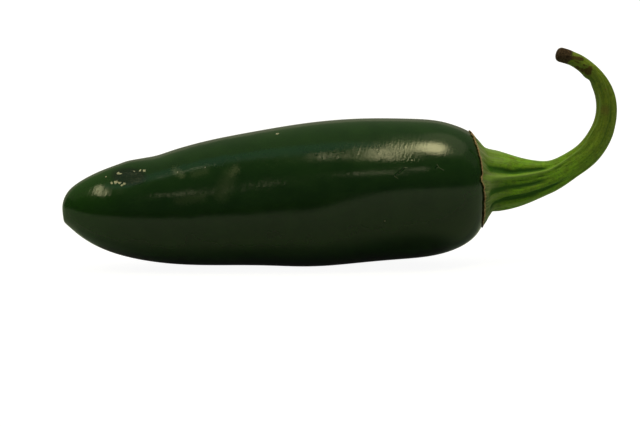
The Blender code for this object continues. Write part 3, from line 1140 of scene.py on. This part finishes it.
class PodLook(bpy.types.PropertyGroup):
    """Colours and finish of the pod."""

    flesh_colour: colour_setting("Flesh", "Main green of the pod", (0.011, 0.036, 0.007))
    shade_colour: colour_setting("Shade", "Darker green of the pod's mottling", (0.008, 0.029, 0.006))
    tip_colour: colour_setting("Tip", "Brighter green at the blossom end", (0.011, 0.044, 0.004))
    scuff_colour: colour_setting("Scuff", "Grey green of the scuffed dent", (0.006, 0.013, 0.006))
    # Painted highlights: the pale colour of the streaks that stand in for glints.
    glint_colour: colour_setting("Wax", "Grey green of the smears of wax", (0.090, 0.115, 0.055))
    # Painted shade: the dark green in the deep nicks.
    nick_shade_colour: colour_setting("Nicks", "Dark green in the deep nicks", (0.005, 0.024, 0.004))
    crust_colour: colour_setting("Crust", "Pale tan of the dried flecks", (0.46, 0.45, 0.31))
    scar_colour: colour_setting("Scar", "Tan of the blossom scar", (0.10, 0.085, 0.04))
    roughness: number_setting("Roughness", "How dull the wax is", 0.155, 1)
    wrinkle_depth: number_setting("Wrinkle depth", "Depth of the wrinkles, in millimetres", 0.018, 0.2)
    crackle_depth: number_setting("Crackle depth", "Depth of the crackle, in millimetres", 0.016, 0.2)
    wave_depth: number_setting("Wave depth", "Depth of the long waves, in millimetres", 0.05, 2)
    ripple_depth: number_setting("Ripple depth", "Depth of the tip's ripples, in millimetres", 0.06, 1)
    hollow_share: number_setting("Hollows", "How deep the hollows are, as a share", 1.0, 1.5)


class StemLook(bpy.types.PropertyGroup):
    """Colours and relief of the calyx and the stem."""

    calyx_colour: colour_setting("Calyx", "Grey green of the calyx's streaks", (0.24, 0.29, 0.12))
    calyx_shade_colour: colour_setting("Calyx shade", "Green between the streaks", (0.10, 0.15, 0.038))
    foot_colour: colour_setting("Stem foot", "Green of the stem's foot", (0.205, 0.415, 0.017))
    upper_colour: colour_setting("Upper stem", "Olive green of the upper stem", (0.21, 0.28, 0.024))
    dull_colour: colour_setting("Blotches", "Dull green of the stem's blotches", (0.145, 0.19, 0.024))
    groove_colour: colour_setting("Grooves", "Deep green of the grooves", (0.040, 0.125, 0.009))
    rib_colour: colour_setting("Ribs", "Pale green of the ribs", (0.25, 0.40, 0.075))
    edge_colour: colour_setting("Calyx edge", "Tan of the papery edge", (0.60, 0.40, 0.22))
    edge_shade_colour: colour_setting("Edge shade", "Brown of the papery edge", (0.26, 0.15, 0.07))
    patch_colour: colour_setting("Patches", "Brown of the dry patches", (0.090, 0.055, 0.013))
    rust_colour: colour_setting("Rust", "Reddish brown of the small marks", (0.22, 0.09, 0.035))
    cork_colour: colour_setting("Dry end", "Brown of the dry cut end", (0.050, 0.028, 0.014))
    cork_pale_colour: colour_setting("Dry flecks", "Paler brown of the dry end", (0.115, 0.072, 0.042))
    roughness: number_setting("Roughness", "How dull the stem is", 0.5, 1)
    rib_height: number_setting("Rib height", "Height of the ribs, as a share", 1.35, 2)
    edge_lift: number_setting("Edge lift", "From the pod to the calyx's edge, in millimetres", 0.3, 2)


class StageLook(bpy.types.PropertyGroup):
    """The camera and the lights."""

    camera_distance: FloatProperty(
        name="Camera distance", description="From the camera to the pepper", unit="LENGTH", default=0.45
    )
    camera_azimuth: angle_setting("Camera azimuth", "Angle round the pepper", -5)
    camera_elevation: angle_setting("Camera elevation", "Angle above the floor", 8)
    light_level: number_setting("Light level", "Brightness of all the lights, as a share", 1.0, 10)


class JALAPENO_OT_pod(bpy.types.Operator):
    """Models the pod"""

    bl_idname = "jalapeno.pod"
    bl_label = "Pod"

    def execute(self, context):
        look = context.scene.jalapeno_pod
        sections = pod_sections()
        pod = sweep("pod_fruit", POD_SIDES, sections)
        narrow(pod)
        angles, along, radius = rounded(pod, sections)
        press_hollows(pod, POD_HOLLOWS, angles, along, radius, look.hollow_share)
        rest_flat(pod)
        finish_piece(pod, pod_skin(look), "pod")
        return {"FINISHED"}


class JALAPENO_OT_calyx_and_stem(bpy.types.Operator):
    """Models the calyx and the stem on the finished pod"""

    bl_idname = "jalapeno.calyx_and_stem"
    bl_label = "Calyx and stem"

    def execute(self, context):
        look = context.scene.jalapeno_stem
        sections = stem_sections()
        sections += end_sections(sections[-1], CUT_END)
        stem = sweep("calyx_with_stem", STEM_SIDES, sections)
        angles, along, radius = rounded(stem, sections)
        raise_ribs(stem, angles, along, radius, look.rib_height)
        press_hollows(stem, STEM_HOLLOWS, angles, along, radius)
        draw_edge(stem, angles, along)
        lay_edge(stem, bpy.data.objects["pod_fruit"], along, look.edge_lift)
        crease_calyx(stem, angles, along)
        finish_piece(stem, stem_skin(look), "calyx_and_stem")
        return {"FINISHED"}


class JALAPENO_OT_stage(bpy.types.Operator):
    """Sets up the floor, the lights and the camera"""

    bl_idname = "jalapeno.stage"
    bl_label = "Stage"

    def execute(self, context):
        look = context.scene.jalapeno_stage
        make_floor()
        make_lights(look)
        make_camera(look)
        return {"FINISHED"}


class JALAPENO_PT_panel(bpy.types.Panel):
    """Lists the pieces of the pepper"""

    bl_idname = "JALAPENO_PT_panel"
    bl_label = "Jalapeno"
    bl_space_type = "VIEW_3D"
    bl_region_type = "UI"
    bl_category = "Jalapeno"

    def draw(self, context):
        for settings, operator in (
            (context.scene.jalapeno_pod, "jalapeno.pod"),
            (context.scene.jalapeno_stem, "jalapeno.calyx_and_stem"),
            (context.scene.jalapeno_stage, "jalapeno.stage"),
        ):
            box = self.layout.box()
            for name in settings.__annotations__:
                box.prop(settings, name)
            box.operator(operator)


CLASSES = (
    PodLook,
    StemLook,
    StageLook,
    JALAPENO_OT_pod,
    JALAPENO_OT_calyx_and_stem,
    JALAPENO_OT_stage,
    JALAPENO_PT_panel,
)


def register():
    for made in CLASSES:
        bpy.utils.register_class(made)
    bpy.types.Scene.jalapeno_pod = PointerProperty(type=PodLook)
    bpy.types.Scene.jalapeno_stem = PointerProperty(type=StemLook)
    bpy.types.Scene.jalapeno_stage = PointerProperty(type=StageLook)


def unregister():
    del bpy.types.Scene.jalapeno_stage
    del bpy.types.Scene.jalapeno_stem
    del bpy.types.Scene.jalapeno_pod
    for made in reversed(CLASSES):
        bpy.utils.unregister_class(made)


def main():
    register()
    bpy.ops.jalapeno.pod()
    bpy.ops.jalapeno.calyx_and_stem()
    bpy.ops.jalapeno.stage()


if __name__ == "__main__":
    main()
